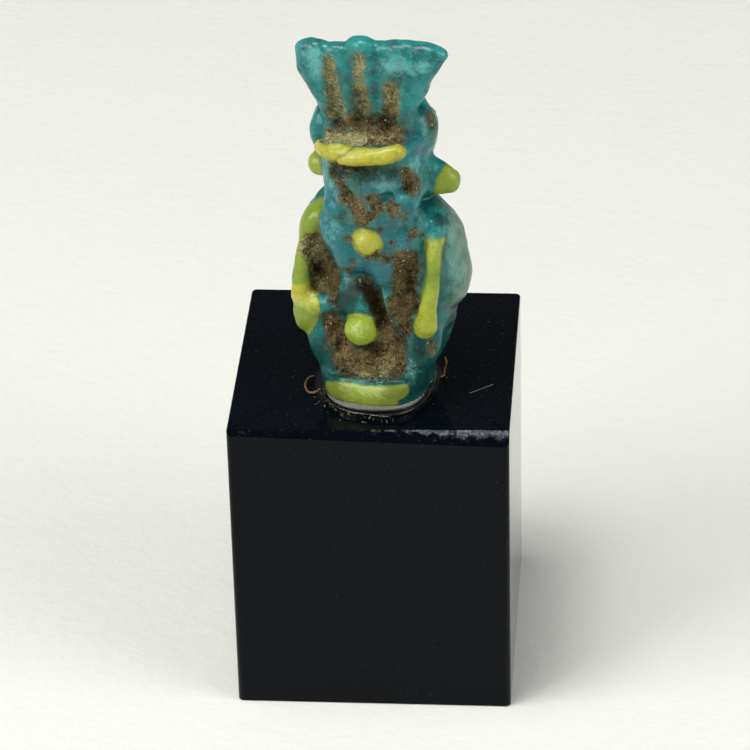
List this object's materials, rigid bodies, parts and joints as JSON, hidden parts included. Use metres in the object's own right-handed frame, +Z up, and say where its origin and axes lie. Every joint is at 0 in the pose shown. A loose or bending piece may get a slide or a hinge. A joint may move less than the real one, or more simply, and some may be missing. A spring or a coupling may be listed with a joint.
{
  "type": "deity amulet",
  "caption": "Small glazed faience amulet of a squatting dwarf deity in a feather crown, glued upright on a square polished black block.",
  "frame": {"origin": "middle of the display block's underside, on the surface that it stands on", "axes": "+Z up; the block's front faces -Y and its right side +X; the amulet faces -Y turned 13 degrees towards -X"},
  "size_m": [0.015, 0.015, 0.0384],
  "materials": {
    "black_acrylic": "polished",
    "clear_adhesive": "clear, glossy",
    "glazed_faience": "worn glaze, blue-green with yellow details"
  },
  "bodies": {
    "root": {"display_block": "black_acrylic", "adhesive_pad": "clear_adhesive", "amulet_figure": "glazed_faience"}
  },
  "joints": []
}
